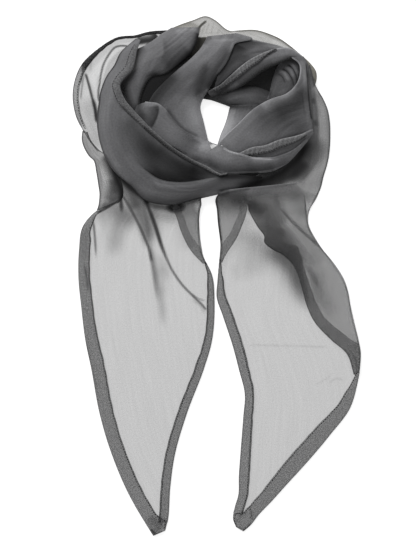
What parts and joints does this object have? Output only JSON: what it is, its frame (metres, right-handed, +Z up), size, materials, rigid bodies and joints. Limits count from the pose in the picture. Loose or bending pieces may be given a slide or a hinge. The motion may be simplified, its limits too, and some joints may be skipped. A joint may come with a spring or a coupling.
{
  "type": "chiffon scarf",
  "caption": "Sheer grey scarf with stitched hems, wound into a ring round a neck opening, its two slanted pointed ends hanging side by side, lying flat.",
  "frame": {"origin": "centre of the scarf's plan box, on the surface it lies on", "axes": "+Y from the pointed ends to the neck ring, +Z up from the surface, +X to the right with the ends towards the viewer"},
  "size_m": [0.2678, 0.483, 0.0296],
  "materials": {
    "chiffon": "sheer matt polyester chiffon, one or two layers",
    "layered_chiffon": "several layers of matt polyester chiffon",
    "shadowed_chiffon": "many hidden layers of chiffon in shadow",
    "hem": "double-turned stitched chiffon hem"
  },
  "bodies": {
    "root": {"hidden_layers": "shadowed_chiffon", "outer_left_loop": "chiffon", "outer_left_hem": "hem", "back_peak": "chiffon", "back_loop": "chiffon", "right_outer": "chiffon", "left_tail": "chiffon", "left_tail_end_hem": "hem", "left_tail_side_hem": "hem", "left_drape": "chiffon", "left_tail_turnback": "chiffon", "left_tail_turnback_hem": "hem", "top_inner_band": "layered_chiffon", "hole_right_strand": "layered_chiffon", "right_loop_inside": "layered_chiffon", "left_strand": "layered_chiffon", "top_right_back": "layered_chiffon", "top_right_band": "layered_chiffon", "top_right_hem": "hem", "right_loop": "layered_chiffon", "inner_bottom_band": "layered_chiffon", "inner_bottom_hem": "hem", "inner_left_strand": "layered_chiffon", "inner_left_fold": "layered_chiffon", "front_band": "layered_chiffon", "front_band_hem": "hem", "right_tail": "chiffon", "right_tail_end_hem": "hem", "right_tail_side_hem": "hem", "right_tail_side_turnback": "chiffon", "right_tail_side_turnback_hem": "hem", "right_tail_turnback": "chiffon", "right_tail_turnback_hem": "hem"}
  },
  "joints": []
}
